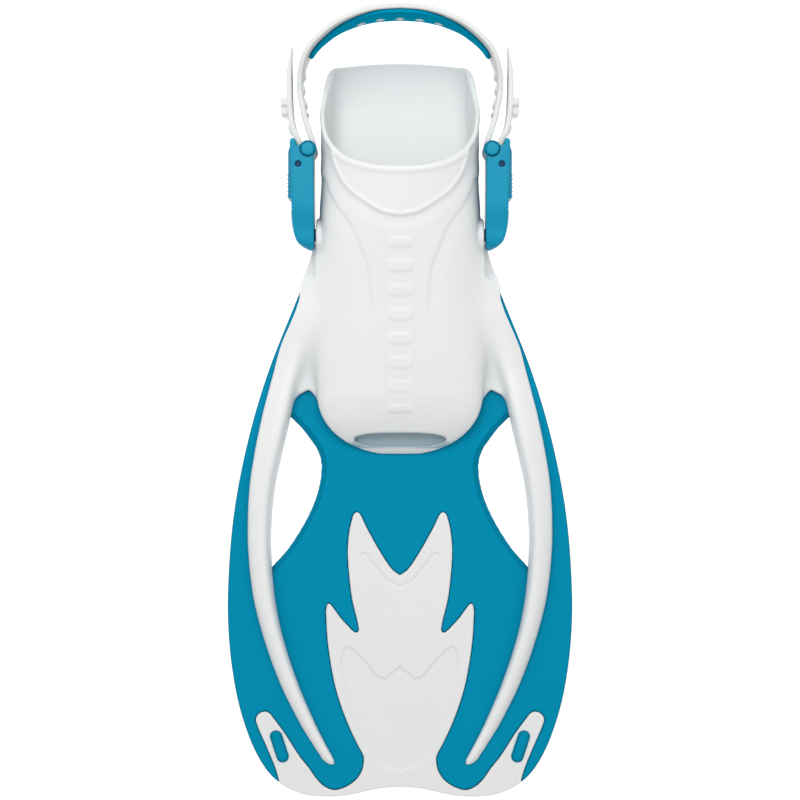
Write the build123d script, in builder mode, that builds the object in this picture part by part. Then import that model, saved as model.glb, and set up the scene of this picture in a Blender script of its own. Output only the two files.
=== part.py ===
"""Open-heel swim fin: blade, elastomer foot pocket and rails, heel strap and two ratchet buckles.

Millimetres. +Y points to the heel, -Y to the blade tip, +Z up, and X = 0 is the plane of symmetry.
The fin stands on its heel tread and on the two lobes of the blade tip, so Z = 0 is the floor.
The outlines measure Y from the toe region; every finished piece is moved by MIDDLE_SHIFT, so that
the written files have Y = 0 in the middle of the fin with its strap.
"""
from build123d import *
import os
from math import atan2, cos, degrees, radians, sin

os.makedirs("parts", exist_ok=True)

# ---- driving dimensions --------------------------------------------------------------------------
# Arch line: the top of the rigid plate seen from the side, from the heel over the knee to the tip.
HEEL_Y = 188.0
HEEL_Z = 6.0
KNEE_Y = -15.0
KNEE_Z = 30.0
TIP_Y = -228.2
TIP_Z = 3.0
KNEE_RADIUS = 150.0
PLATE = 3.0
FIN_HALF_WIDTH = 97.8
MIDDLE_SHIFT = 4.8

# Foot pocket
WALL = 2.6
SOLE_THICKNESS = 2.6
TREAD_THICKNESS = 4.5
HEEL_END_Y = 190.7
MOUTH_FRONT = (116.5, 92.0)
MOUTH_MIDDLE = (152.0, 48.5)
MOUTH_BACK = (192.0, 8.0)
MOUTH_BEAD = 0.8
DRAIN_Y = -22.6
DRAIN_WIDTH = 51.0
DRAIN_HEIGHT = 8.4
DRAIN_LIFT = 3.2
DRAIN_LENGTH = 24.0
GROOVE_COUNT = 20
GROOVE_FIRST_Y = -18.0
GROOVE_PITCH = 10.0
GROOVE_WIDTH = 2.4
GROOVE_DEPTH = 1.6
WINDOW_Y = 84.0
WINDOW_WIDTH = 44.0
WINDOW_LENGTH = 56.0
WINDOW_CORNER = 12.0
HEEL_CORNER = 6.0

# Strap swivel: the studs on the pocket's sides
PIVOT_Y = 91.0
PIVOT_Z = 40.0
SWIVEL_PLANE = Plane(origin=(0, 0, PIVOT_Z), x_dir=(0, 1, 0), z_dir=(1, 0, 0))
STUD_X = 46.8
STUD_RADIUS = 3.5
STUD_FLANGE_RADIUS = 7.0
STUD_FLANGE = 1.6
STUD_HEAD = 2.0
STUD_HEAD_RADIUS = 5.2
STUD_HEAD_ROUNDING = 1.2
SIDE_BOSS_RADIUS = 9.0
SIDE_BOSS_DEPTH = 5.8
RUNNING_CLEARANCE = 0.06

# Strap
STRAP_THICKNESS = 3.0
STRAP_WIDTH = 21.0
STRAP_HEEL_WIDTH = 36.0
TOOTH_PITCH = 8.8
TOOTH_HEIGHT = 1.2
PAD_THICKNESS = 1.7
PAD_HEIGHT = 32.0
PAD_HOLE_COUNT = 7
PAD_HOLE_ANGLE = 12.0
PAD_HOLE_LENGTH = 8.4
PAD_HOLE_WIDTH = 4.4
PAD_HOLE_DROP = 6.8
PAD_TURN_Y = 165.0
PAD_END_Y = 191.0
TOOTH_LENGTH = 6.4
PULL_CENTRE = (63.2, 161.5)
PULL_WIDTH = 5.6
PULL_LENGTH = 9.6
LOOP_BACK_Y = 218.6

# Buckles
ROLLER_X = 51.0
ROLLER_Y = 137.9
ROLLER_RADIUS = 1.75
ROLLER_HEAD_RADIUS = 3.6
BOSS_RADIUS = 4.8
CHEEK = 2.2
CHEEK_GAP = 22.2
LEVER_X = 56.3
LEVER_Y = 129.7
LEVER_PIN_RADIUS = 1.6
LEVER_PIN_RECESS = 1.2
BUCKLE_INNER_X = 47.5
BUCKLE_OUTER_X = 60.8
BUCKLE_END_Y = 82.0
LEVER_CLEARANCE = 0.35
LEVER_HUB_RADIUS = 3.1
LEVER_OUTER_X = 61.9
RIB_RADIUS = 0.5
HEAD_SEAT_X = 52.0
HEAD_SEAT_CLEARANCE = 0.4
RIB_COUNT = 6
RIB_PITCH = 2.2
SPRING_SLOT = 3.6
SPRING_LEG = 7.0
SPRING_SWEEP = 1.2
SPRING_RADIUS = 2.35
SPRING_WIRE = 0.6


# ---- shared shapes -------------------------------------------------------------------------------
def arch_height(y):
    """Height of the arch line at y, before its knee is rounded."""
    if y > KNEE_Y:
        return HEEL_Z + (HEEL_Y - y) * (KNEE_Z - HEEL_Z) / (HEEL_Y - KNEE_Y)
    return TIP_Z + (y - TIP_Y) * (KNEE_Z - TIP_Z) / (KNEE_Y - TIP_Y)


def arch_points(lift):
    """Heel end, knee and tip end of the arch line, raised by lift and run past both ends."""
    heel = (HEEL_Y + 30, arch_height(HEEL_Y + 30) + lift)
    tip = (TIP_Y - 30, arch_height(TIP_Y - 30) + lift)
    return heel, (KNEE_Y, KNEE_Z + lift), tip


def arch_slab(low, high):
    """Solid between two copies of the arch line, wider than the fin."""
    heel_low, knee_low, tip_low = arch_points(low)
    heel_high, knee_high, tip_high = arch_points(high)
    with BuildPart() as slab:
        with BuildSketch(Plane.YZ):
            with BuildLine():
                FilletPolyline(heel_low, knee_low, tip_low, radius=KNEE_RADIUS)
                FilletPolyline(heel_high, knee_high, tip_high, radius=KNEE_RADIUS)
                Line(heel_low, heel_high)
                Line(tip_low, tip_high)
            make_face()
        extrude(amount=FIN_HALF_WIDTH + 10, both=True)
    return slab.part


def finish(builder, name):
    """Move the finished piece into the shared frame, label it and write it."""
    piece = builder.part.moved(Location((0, MIDDLE_SHIFT, 0)))
    piece.label = name
    export_step(piece, f"parts/{name}.step")


TALL = 120.0
TREAD = PLATE + TREAD_THICKNESS
plate_slab = arch_slab(-PLATE, 0)

# ---- plan outlines (right half, X positive) ------------------------------------------------------
OUTER_EDGE = [(50, 78), (58.5, 55.7), (74.3, 14.9), (86.0, -25.6), (94.0, -66.3), (97.8, -120),
              (96.1, -150), (88.4, -187), (81.4, -204.3), (70.7, -218.3)]
TIP_EDGE = [(70.7, -218.3), (59.5, -225.3), (45.0, -228.2), (21.5, -225.3), (0, -222.4)]
TONGUE_EDGE = [(31, 90), (30, 130), (31, 172)]
TONGUE_END = (0, 182)
VENT_EDGE = [(61.4, -11.0), (53.4, -19.5), (45.6, -32.0), (45.0, -45.0), (50.5, -62.9), (62.5, -83.4),
             (74.5, -97.0)]
LIP_EDGE = [(64.0, -6.5), (51.6, -16.4), (42.6, -30.8), (41.8, -46.5), (47.8, -64.9), (60.1, -85.7),
            (74.5, -101.5)]
VENT_RAIL_SIDE = [(74.5, -97.0), (78.0, -80.0), (75.0, -48.0), (66.5, -14.0), (61.4, -11.0)]
PANEL_V = [(0, -99.9), (9.5, -89.5), (18.6, -73.1), (22.4, -65.6)]
PANEL_OUTER = [(26.4, -65.6), (29.0, -75.0), (29.7, -88.0), (27.2, -114.2), (23.7, -130.3)]
PANEL_INNER_SIDE = [(26.9, -131.9), (33.5, -124.5), (38.8, -117.2)]
PANEL_SIDE = [(42.2, -118.0), (41.6, -138.0), (34.5, -173.0), (24.6, -197.3), (20.9, -208.0),
              (25.0, -218.0), (31.5, -222.2)]
LEG_SIDE = [(43.4, -221.6), (52.0, -211.3), (62.0, -197.3), (73.8, -180.2)]
TAB_SIDE = [(82.5, -182.5), (78.0, -195.0), (72.0, -210.0), (69.0, -220.5)]
PILL_CENTRE = (68.9, -198.8)
PILL_ANGLE = 72.6
PILL_LENGTH = 18.6
PILL_WIDTH = 6.4
PANEL_DEPTH = 1.6
PANEL_PROUD = 0.3
PILL_PROUD = 1.8
LIP_PROUD = 0.7
APRON_THICKNESS = 2.6
WEB_EDGE = [(36.0, 6.0), (44.0, 1.0), (51.2, 4.8)]

lip_slab = arch_slab(-PLATE, LIP_PROUD)
panel_slab = arch_slab(-PANEL_DEPTH, PANEL_PROUD)
pill_slab = arch_slab(-PLATE, PILL_PROUD)
web_slab = arch_slab(-PLATE, APRON_THICKNESS)
groove_slab = arch_slab(-TREAD - 3, GROOVE_DEPTH - TREAD)

# ---- side rails: lofted through upright sections -------------------------------------------------
# y, inner x, outer x, height above the plate, depth below its underside
RAIL_STATIONS = [
    (88, 40.0, 47.0, 4.0, 1.0),
    (62, 42.0, 55.6, 9.0, 2.0),
    (30, 52.5, 67.0, 12.0, 3.0),
    (-8, 60.9, 77.5, 12.5, 3.5),
    (-45, 69.7, 84.9, 12.5, 4.0),
    (-80, 73.0, 86.6, 11.5, 4.0),
    (-114, 70.9, 83.5, 10.0, 3.5),
    (-148, 63.0, 74.2, 7.5, 2.5),
    (-180, 50.9, 60.4, 5.0, 1.5),
    (-204, 38.8, 46.5, 3.0, 0.8),
]


def rail_section(y, inner, outer, height, depth):
    """Upright closed section of a rail: crest near the inner edge, rounded down to the outer side."""
    base = arch_height(y)
    low = base - PLATE - depth
    width = outer - inner
    with BuildSketch(Plane.XZ.offset(-y)) as section:
        with BuildLine():
            Spline(
                (inner + 0.15 * width, low),
                (inner, base),
                (inner + 0.28 * width, base + height),
                (inner + 0.70 * width, base + 0.72 * height),
                (outer, base),
                (outer - 0.2 * width, low),
            )
            Line((outer - 0.2 * width, low), (inner + 0.15 * width, low))
        make_face()
    return section.sketch


rail_sections = [rail_section(*station).face() for station in RAIL_STATIONS]

with BuildPart() as rail_form:
    add(rail_sections)
    loft()

# ---- foot pocket ---------------------------------------------------------------------------------
# y, sole half-width, greatest half-width, its height, crest height
POCKET_STATIONS = [
    (206, 36.0, 43.0, 36, 88),
    (165, 38.0, 44.0, 38, 85),
    (130, 39.0, 44.2, 38, 81),
    (95, 40.5, 45.0, 37, 73.5),
    (60, 43.5, 46.5, 36, 64),
    (20, 45.5, 47.5, 36, 55.0),
    (-2, 43.0, 44.0, 35.5, 49.0),
    (-14, 38.0, 38.5, 34.5, 43.5),
    (-23, 30.5, 31.0, 32, 37.5),
    (-29.5, 19.0, 19.5, 29, 31.5),
]


def pocket_section(y, sole, widest, widest_z, crest, inset, floor):
    """Upright closed section of the pocket, shrunk by inset, with a flat sole at floor."""
    side = widest - inset
    top = crest - inset
    rise = top - widest_z
    with BuildSketch(Plane.XZ.offset(-y)) as section:
        with BuildLine():
            Spline(
                (-(sole - inset), floor),
                (-side, widest_z),
                (-0.72 * side, widest_z + 0.70 * rise),
                (0, top),
                (0.72 * side, widest_z + 0.70 * rise),
                (side, widest_z),
                (sole - inset, floor),
            )
            Line((sole - inset, floor), (-(sole - inset), floor))
        make_face()
    return section.sketch


def pocket_loft_sections(inset, lift, stations):
    """Faces of the pocket form at the given stations, inset from the outside."""
    faces = []
    for y, sole, widest, widest_z, crest in stations:
        floor = arch_height(y) + lift
        faces.append(pocket_section(y, sole, widest, widest_z, crest, inset, floor).face())
    return faces


outside_sections = pocket_loft_sections(0, -TREAD, POCKET_STATIONS)
bulged_sections = pocket_loft_sections(-MOUTH_BEAD, -TREAD, POCKET_STATIONS[:4])
inside_sections = pocket_loft_sections(WALL, SOLE_THICKNESS, POCKET_STATIONS[:-2])

with BuildPart() as pocket_outside:
    add(outside_sections)
    loft()

with BuildPart() as pocket_bulged:
    add(bulged_sections)
    loft()

with BuildPart() as pocket_inside:
    add(inside_sections)
    loft()


def mouth_side(shift):
    """Everything above and behind the mouth's rim, moved towards the toe by shift."""
    front = (MOUTH_FRONT[0] - shift, MOUTH_FRONT[1])
    middle = (MOUTH_MIDDLE[0] - shift, MOUTH_MIDDLE[1])
    back = (MOUTH_BACK[0] - shift, MOUTH_BACK[1])
    with BuildPart() as side:
        with BuildSketch(Plane.YZ):
            with BuildLine():
                ThreePointArc(front, middle, back)
                Polyline(back, (HEEL_Y + 40, MOUTH_BACK[1]), (HEEL_Y + 40, TALL), (front[0], TALL), front)
            make_face()
        extrude(amount=FIN_HALF_WIDTH, both=True)
    return side.part


above_mouth = mouth_side(0)
bead_zone = mouth_side(3.5)

# ---- blade ---------------------------------------------------------------------------------------
with BuildPart() as blade_plan:
    with BuildSketch():
        with BuildLine():
            Spline(*OUTER_EDGE, tangents=((0.25, -1), (-0.85, -1)))
            Spline(*TIP_EDGE, tangents=((-0.85, -1), (-1, 0)))
            Line(OUTER_EDGE[0], TONGUE_EDGE[0])
            Spline(*TONGUE_EDGE)
            ThreePointArc(TONGUE_EDGE[-1], (22, 180), TONGUE_END)
            Line(TONGUE_END, TIP_EDGE[-1])
        make_face()
        mirror(about=Plane.YZ)
    extrude(amount=TALL)

with BuildPart() as vents:
    with BuildSketch():
        with BuildLine():
            Spline(*VENT_EDGE)
            Spline(*VENT_RAIL_SIDE)
        make_face()
        mirror(about=Plane.YZ)
    extrude(amount=TALL)

with BuildPart() as vent_lips:
    with BuildSketch():
        with BuildLine():
            Spline(*LIP_EDGE)
            Polyline(LIP_EDGE[-1], (80, -97), (78, -50), (68, -14), LIP_EDGE[0])
        make_face()
        mirror(about=Plane.YZ)
    extrude(amount=TALL)
    add(lip_slab, mode=Mode.INTERSECT)

with BuildPart() as pill_form:
    with BuildSketch():
        with Locations(PILL_CENTRE):
            SlotOverall(PILL_LENGTH, PILL_WIDTH, rotation=PILL_ANGLE)
        mirror(about=Plane.YZ)
    extrude(amount=TALL)

with BuildPart() as channel_panel:
    with BuildSketch():
        with BuildLine():
            Spline(*PANEL_V, tangents=((1, 0), (0.5, 1)))
            ThreePointArc(PANEL_V[-1], (24.4, -64.0), PANEL_OUTER[0])
            Spline(*PANEL_OUTER)
            ThreePointArc(PANEL_OUTER[-1], (24.8, -133.0), PANEL_INNER_SIDE[0])
            Spline(*PANEL_INNER_SIDE)
            ThreePointArc(PANEL_INNER_SIDE[-1], (40.8, -116.0), PANEL_SIDE[0])
            Spline(*PANEL_SIDE)
            ThreePointArc(PANEL_SIDE[-1], (37.8, -224.1), LEG_SIDE[0])
            Spline(*LEG_SIDE)
            ThreePointArc(LEG_SIDE[-1], (77.8, -178.5), TAB_SIDE[0])
            Spline(*TAB_SIDE)
            Polyline(TAB_SIDE[-1], (70, TIP_Y - 8), (0, TIP_Y - 8), PANEL_V[0])
        make_face()
        mirror(about=Plane.YZ)
    extrude(amount=TALL)
    add(panel_slab, mode=Mode.INTERSECT)
    add(blade_plan.part, mode=Mode.INTERSECT)
    add(pill_form.part, mode=Mode.SUBTRACT)

with BuildPart() as pills:
    add(pill_form.part)
    add(pill_slab, mode=Mode.INTERSECT)

with BuildPart() as blade:
    add(blade_plan.part)
    add(plate_slab, mode=Mode.INTERSECT)
    add(vent_lips.part)
    add(vents.part, mode=Mode.SUBTRACT)
    add(channel_panel.part, mode=Mode.SUBTRACT)
    add(pills.part)

# ---- pivot studs ---------------------------------------------------------------------------------
STUD_BACK_X = STUD_X - 5.2
STUD_SHANK_END_X = STUD_X + 5.4

with BuildPart() as right_pivot_stud:
    with BuildSketch(Plane.YZ.offset(STUD_BACK_X)):
        with Locations((PIVOT_Y, PIVOT_Z)):
            Circle(STUD_FLANGE_RADIUS)
    extrude(amount=STUD_FLANGE)
    with BuildSketch(Plane.YZ.offset(STUD_BACK_X)):
        with Locations((PIVOT_Y, PIVOT_Z)):
            Circle(STUD_RADIUS)
    extrude(amount=STUD_SHANK_END_X - STUD_BACK_X)
    with BuildSketch(Plane.YZ.offset(STUD_SHANK_END_X)):
        with Locations((PIVOT_Y, PIVOT_Z)):
            Circle(STUD_HEAD_RADIUS)
    extrude(amount=STUD_HEAD)
    fillet(right_pivot_stud.edges().sort_by(Axis.X)[-1], radius=STUD_HEAD_ROUNDING)

with BuildPart() as left_pivot_stud:
    mirror(right_pivot_stud.part, about=Plane.YZ)

# ---- foot pocket ---------------------------------------------------------------------------------
# Web between the pocket and the rails, lying on the plate
with BuildPart() as apron:
    with BuildSketch():
        with BuildLine():
            ThreePointArc(*WEB_EDGE)
            Polyline(WEB_EDGE[-1], (58, 1.5), (64, 8), (56, 50), (48, 76), (0, 76), (0, 12), WEB_EDGE[0])
        make_face()
        mirror(about=Plane.YZ)
    extrude(amount=TALL)
    add(web_slab, mode=Mode.INTERSECT)

# Outline of the heel end seen from above
with BuildPart() as heel_trim:
    with BuildSketch() as heel_outline:
        with BuildLine():
            ThreePointArc((-46, 183), (0, HEEL_END_Y), (46, 183))
            Polyline((46, 183), (46, 120), (90, 120), (90, -40))
            Polyline((90, -40), (-90, -40), (-90, 120), (-46, 120), (-46, 183))
        make_face()
        fillet(heel_outline.vertices().group_by(Axis.Y)[-1], radius=HEEL_CORNER)
    extrude(amount=TALL)

# Grooves across the sole and the window that shows the plate under the arch of the foot
with BuildPart() as sole_cuts:
    with BuildSketch(Plane.XY.offset(-5)):
        for groove in range(GROOVE_COUNT):
            with Locations((0, GROOVE_FIRST_Y + groove * GROOVE_PITCH)):
                Rectangle(120, GROOVE_WIDTH)
    extrude(amount=TALL)
    add(groove_slab, mode=Mode.INTERSECT)
    with BuildSketch():
        with Locations((0, WINDOW_Y)):
            RectangleRounded(WINDOW_WIDTH, WINDOW_LENGTH, WINDOW_CORNER)
    extrude(amount=arch_height(WINDOW_Y))

BOSS_MIDDLE_X = STUD_X - SIDE_BOSS_DEPTH / 2

with BuildPart() as foot_pocket:
    add(pocket_bulged.part)
    add(bead_zone, mode=Mode.INTERSECT)
    add(pocket_outside.part)
    add(apron.part)
    with Locations((0, PIVOT_Y, PIVOT_Z)):
        Cylinder(radius=SIDE_BOSS_RADIUS, height=2 * STUD_X, rotation=(0, 90, 0))
    add(pocket_inside.part, mode=Mode.SUBTRACT)
    with Locations((BOSS_MIDDLE_X, PIVOT_Y, PIVOT_Z), (-BOSS_MIDDLE_X, PIVOT_Y, PIVOT_Z)):
        Cylinder(radius=SIDE_BOSS_RADIUS, height=SIDE_BOSS_DEPTH, rotation=(0, 90, 0))
    add(above_mouth, mode=Mode.SUBTRACT)
    add(heel_trim.part, mode=Mode.INTERSECT)
    with Locations((0, DRAIN_Y, arch_height(DRAIN_Y) + DRAIN_LIFT + DRAIN_HEIGHT / 2)):
        Box(DRAIN_WIDTH, DRAIN_LENGTH, DRAIN_HEIGHT, mode=Mode.SUBTRACT)
    add(sole_cuts.part, mode=Mode.SUBTRACT)
    add(blade.part, mode=Mode.SUBTRACT)
    add(left_pivot_stud.part, mode=Mode.SUBTRACT)
    add(right_pivot_stud.part, mode=Mode.SUBTRACT)

with BuildPart() as right_rail:
    add(rail_form.part)
    add(blade.part, mode=Mode.SUBTRACT)
    add(pocket_outside.part, mode=Mode.SUBTRACT)
    add(apron.part, mode=Mode.SUBTRACT)

with BuildPart() as left_rail:
    mirror(right_rail.part, about=Plane.YZ)

# ---- heel strap ----------------------------------------------------------------------------------
ROLLER_WRAP = ROLLER_RADIUS + 0.1 + STRAP_THICKNESS / 2
INNER_RUN_X = ROLLER_X - ROLLER_WRAP
OUTER_RUN_X = ROLLER_X + ROLLER_WRAP
LOOP_LINE = [(0, LOOP_BACK_Y - STRAP_THICKNESS / 2), (39.5, 205.0), (51.0, 192.3), (55.0, 176.0),
             (52.3, 159.0), (INNER_RUN_X, ROLLER_Y)]
FREE_LINE = [(OUTER_RUN_X, ROLLER_Y), (58.9, 149.5), (61.0, 165), (61.3, 180), (59.9, 195)]
LOOP_TEETH_START = 75.0
FREE_TEETH_START = 11.0
TEETH_COUNT = 4
TOOTH_INSET = 2.0

with BuildPart() as loop_band:
    with BuildSketch(Plane.XY.offset(PIVOT_Z - STRAP_HEEL_WIDTH / 2)):
        with BuildLine():
            loop_line = Spline(*LOOP_LINE, tangents=((1, 0), (0, -1)))
        trace(line_width=STRAP_THICKNESS)
        mirror(about=Plane.YZ)
    extrude(amount=STRAP_HEEL_WIDTH)

with BuildPart() as free_bands:
    with BuildSketch(Plane.XY.offset(PIVOT_Z - STRAP_WIDTH / 2)):
        with BuildLine():
            free_line = Spline(*FREE_LINE, tangents=((0, 1), (-0.12, 1)))
            CenterArc((ROLLER_X, ROLLER_Y), ROLLER_WRAP, 180, 180)
        trace(line_width=STRAP_THICKNESS)
        mirror(about=Plane.YZ)
    extrude(amount=STRAP_WIDTH)

# Side outline of the loop: narrow at the buckles, deeper round the heel
SIDE_HALF = STRAP_WIDTH / 2
HEEL_HALF = STRAP_HEEL_WIDTH / 2

with BuildPart() as loop_side:
    with BuildSketch(SWIVEL_PLANE):
        with BuildLine():
            Spline((168, SIDE_HALF), (180, 14), (192, HEEL_HALF), tangents=((1, 0), (1, 0)))
            Polyline((192, HEEL_HALF), (230, HEEL_HALF), (230, 0))
            Polyline((230, 0), (120, 0), (120, SIDE_HALF), (168, SIDE_HALF))
        make_face()
        mirror(about=Plane.XZ)
    extrude(amount=FIN_HALF_WIDTH, both=True)


def band_teeth(line, first, side):
    """Ratchet teeth: prisms standing on one side of a band, evenly spaced along its line."""
    width = STRAP_WIDTH - 2 * TOOTH_INSET
    lift = side * (STRAP_THICKNESS / 2 + TOOTH_HEIGHT / 2 - 0.15)
    with BuildPart() as teeth:
        with BuildSketch(Plane.XY.offset(PIVOT_Z - width / 2)):
            for step in range(TEETH_COUNT):
                fraction = (first + step * TOOTH_PITCH) / line.length
                place = line @ fraction
                heading = line % fraction
                angle = degrees(atan2(heading.Y, heading.X))
                with Locations(Location((place.X, place.Y), angle)):
                    with Locations((0, lift)):
                        Trapezoid(TOOTH_LENGTH, TOOTH_HEIGHT + 0.3, 60, rotation=90 - 90 * side)
            mirror(about=Plane.YZ)
        extrude(amount=width)
    return teeth.part


loop_teeth = band_teeth(loop_line, LOOP_TEETH_START, -1)
free_teeth = band_teeth(free_line, FREE_TEETH_START, -1)

# ---- heel pad ------------------------------------------------------------------------------------
# Windows of the pad, which pegs of the strap fill
with BuildPart() as pad_windows:
    for step in range(PAD_HOLE_COUNT):
        turn = radians((step - (PAD_HOLE_COUNT - 1) / 2) * PAD_HOLE_ANGLE)
        facing = Plane(
            origin=(0, PAD_TURN_Y, PIVOT_Z),
            x_dir=(cos(turn), -sin(turn), 0),
            z_dir=(sin(turn), cos(turn), 0),
        )
        with BuildSketch(facing):
            with Locations((0, PAD_HOLE_DROP)):
                SlotOverall(PAD_HOLE_LENGTH, PAD_HOLE_WIDTH, rotation=90)
        extrude(amount=90)

with BuildPart() as pad_band:
    with BuildSketch(Plane.XY.offset(PIVOT_Z - PAD_HEIGHT / 2)):
        with BuildLine():
            Spline(*LOOP_LINE, tangents=((1, 0), (0, -1)))
        trace(line_width=STRAP_THICKNESS + 2 * PAD_THICKNESS)
        mirror(about=Plane.YZ)
    extrude(amount=PAD_HEIGHT)

# The pad is the inner half of a band thicker than the strap, from one side of the heel to the other
with BuildPart() as pad_form:
    with BuildSketch(Plane.XY.offset(PIVOT_Z - PAD_HEIGHT / 2)):
        with BuildLine():
            Spline(*LOOP_LINE, tangents=((1, 0), (0, -1)))
            Polyline(LOOP_LINE[-1], (0, ROLLER_Y), LOOP_LINE[0])
        make_face()
        mirror(about=Plane.YZ)
    extrude(amount=PAD_HEIGHT)
    add(pad_band.part, mode=Mode.INTERSECT)
    with Locations((0, PAD_END_Y + 25, PIVOT_Z)):
        Box(120, 50, PAD_HEIGHT, mode=Mode.INTERSECT)
    add(loop_band.part, mode=Mode.SUBTRACT)

with BuildPart() as pad_pegs:
    add(pad_form.part)
    add(pad_windows.part, mode=Mode.INTERSECT)

with BuildPart() as heel_pad:
    add(pad_form.part)
    add(pad_windows.part, mode=Mode.SUBTRACT)

with BuildPart() as heel_strap:
    add(loop_band.part)
    add(loop_side.part, mode=Mode.INTERSECT)
    add(free_bands.part)
    add(loop_teeth)
    add(free_teeth)
    add(pad_pegs.part)
    with BuildSketch(Plane.XY.offset(PIVOT_Z - STRAP_WIDTH / 2)):
        with Locations(PULL_CENTRE):
            RectangleRounded(PULL_WIDTH, PULL_LENGTH, 1.2)
        mirror(about=Plane.YZ)
    extrude(amount=STRAP_WIDTH)

# ---- buckles -------------------------------------------------------------------------------------
HEAD_SEAT_RADIUS = STUD_HEAD_RADIUS + HEAD_SEAT_CLEARANCE
CHEEK_INSIDE = CHEEK_GAP / 2
CHEEK_OUTSIDE = CHEEK_INSIDE + CHEEK
END_RADIUS = PIVOT_Y - BUCKLE_END_Y
FLANK_EDGE = [(BUCKLE_OUTER_X, 106), (60.0, 94.6), (57.6, 87.6), (50.5, BUCKLE_END_Y)]
FRAME_BACK_EDGE = [
    (50.5, BUCKLE_END_Y), (48.3, BUCKLE_END_Y), (BUCKLE_INNER_X, BUCKLE_END_Y + 1),
    (BUCKLE_INNER_X, 134), (51, 138), (54, 140), (57.4, 140.2),
    (57.9, 142.8), (58.8, 143.7), (60.1, 143.7), (60.9, 142.8), (60.9, 128), (BUCKLE_OUTER_X, 106),
]
LEVER_EDGE = [
    (LEVER_OUTER_X, 110.6), (LEVER_OUTER_X, 136.5), (61.0, 139.5), (59.4, 139.7), (58.4, 137.2),
    (57.6, 138.9), (56.9, 138.3), (55.7, 133), (55.7, 127), (58.6, 124), (59.6, 111.6), (60.4, 110.6),
    (LEVER_OUTER_X, 110.6),
]

# Side outline: rounded round the stud, full height at the roller
with BuildPart() as buckle_side:
    with BuildSketch(Plane.YZ.offset(ROLLER_X - 10)):
        with Locations((PIVOT_Y, PIVOT_Z)):
            Circle(END_RADIUS)
        with Locations((130, PIVOT_Z)):
            Rectangle(32, 2 * CHEEK_OUTSIDE)
        make_hull()
    extrude(amount=30)

with BuildPart() as right_buckle_frame:
    with BuildSketch(Plane.XY.offset(PIVOT_Z - CHEEK_OUTSIDE)):
        with BuildLine():
            Spline(*FLANK_EDGE, tangents=((0, -1), (-1, -0.2)))
            Polyline(*FRAME_BACK_EDGE)
        make_face()
        with Locations((ROLLER_X, ROLLER_Y)):
            Circle(BOSS_RADIUS)
    extrude(amount=2 * CHEEK_OUTSIDE)
    add(buckle_side.part, mode=Mode.INTERSECT)
    # channel for the strap and the lever, open above and on the outer side
    with Locations((60, 129, PIVOT_Z)):
        Box(20, 50, CHEEK_GAP, mode=Mode.SUBTRACT)
    with Locations((50, 142, PIVOT_Z)):
        Box(20, 20, CHEEK_GAP, mode=Mode.SUBTRACT)
    # bores for the stud and its head, the roller pin and the lever pin
    with Locations((BUCKLE_INNER_X, PIVOT_Y, PIVOT_Z)):
        Cylinder(radius=STUD_RADIUS + RUNNING_CLEARANCE, height=20, rotation=(0, 90, 0), mode=Mode.SUBTRACT)
    with Locations((HEAD_SEAT_X + 10, PIVOT_Y, PIVOT_Z)):
        Cylinder(radius=HEAD_SEAT_RADIUS, height=20, rotation=(0, 90, 0), mode=Mode.SUBTRACT)
    with Locations((ROLLER_X, ROLLER_Y, PIVOT_Z)):
        Cylinder(radius=ROLLER_RADIUS + RUNNING_CLEARANCE, height=40, mode=Mode.SUBTRACT)
    with Locations((LEVER_X, LEVER_Y, PIVOT_Z)):
        Cylinder(radius=LEVER_PIN_RADIUS, height=40, mode=Mode.SUBTRACT)

with BuildPart() as right_roller_pin:
    with Locations((ROLLER_X, ROLLER_Y, PIVOT_Z)):
        Cylinder(radius=ROLLER_RADIUS, height=2 * CHEEK_OUTSIDE + 0.4)
    for face_z, facing in ((CHEEK_OUTSIDE + 0.1, 1), (-CHEEK_OUTSIDE - 0.1, -1)):
        with BuildSketch(Plane((ROLLER_X, ROLLER_Y, PIVOT_Z + face_z), z_dir=(0, 0, facing))):
            Circle(ROLLER_HEAD_RADIUS)
        extrude(amount=1.4)
    fillet(right_roller_pin.edges().group_by(Axis.Z)[-1], radius=1.1)
    fillet(right_roller_pin.edges().group_by(Axis.Z)[0], radius=1.1)

with BuildPart() as right_lever_pin:
    with Locations((LEVER_X, LEVER_Y, PIVOT_Z)):
        Cylinder(radius=LEVER_PIN_RADIUS, height=2 * (CHEEK_OUTSIDE - LEVER_PIN_RECESS))

LEVER_HALF_HEIGHT = CHEEK_INSIDE - LEVER_CLEARANCE
with BuildPart() as right_release_lever:
    with BuildSketch(Plane.XY.offset(PIVOT_Z - LEVER_HALF_HEIGHT)):
        with BuildLine():
            Polyline(*LEVER_EDGE)
        make_face()
        with Locations((LEVER_X, LEVER_Y)):
            Circle(LEVER_HUB_RADIUS)
    extrude(amount=2 * LEVER_HALF_HEIGHT)
    with Locations((LEVER_X, LEVER_Y, PIVOT_Z)):
        Cylinder(radius=LEVER_PIN_RADIUS + RUNNING_CLEARANCE, height=40, mode=Mode.SUBTRACT)
        Cylinder(radius=4.2, height=SPRING_SLOT, mode=Mode.SUBTRACT)
    with Locations((LEVER_X + SPRING_RADIUS + SPRING_SWEEP / 2, LEVER_Y - SPRING_LEG / 2, PIVOT_Z)):
        Box(2 + SPRING_SWEEP, SPRING_LEG + 2, SPRING_SLOT, mode=Mode.SUBTRACT)
    for rib in range(RIB_COUNT):
        with Locations((LEVER_OUTER_X, 112.5 + rib * RIB_PITCH, PIVOT_Z)):
            Cylinder(radius=RIB_RADIUS, height=2 * LEVER_HALF_HEIGHT - 3)

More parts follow.
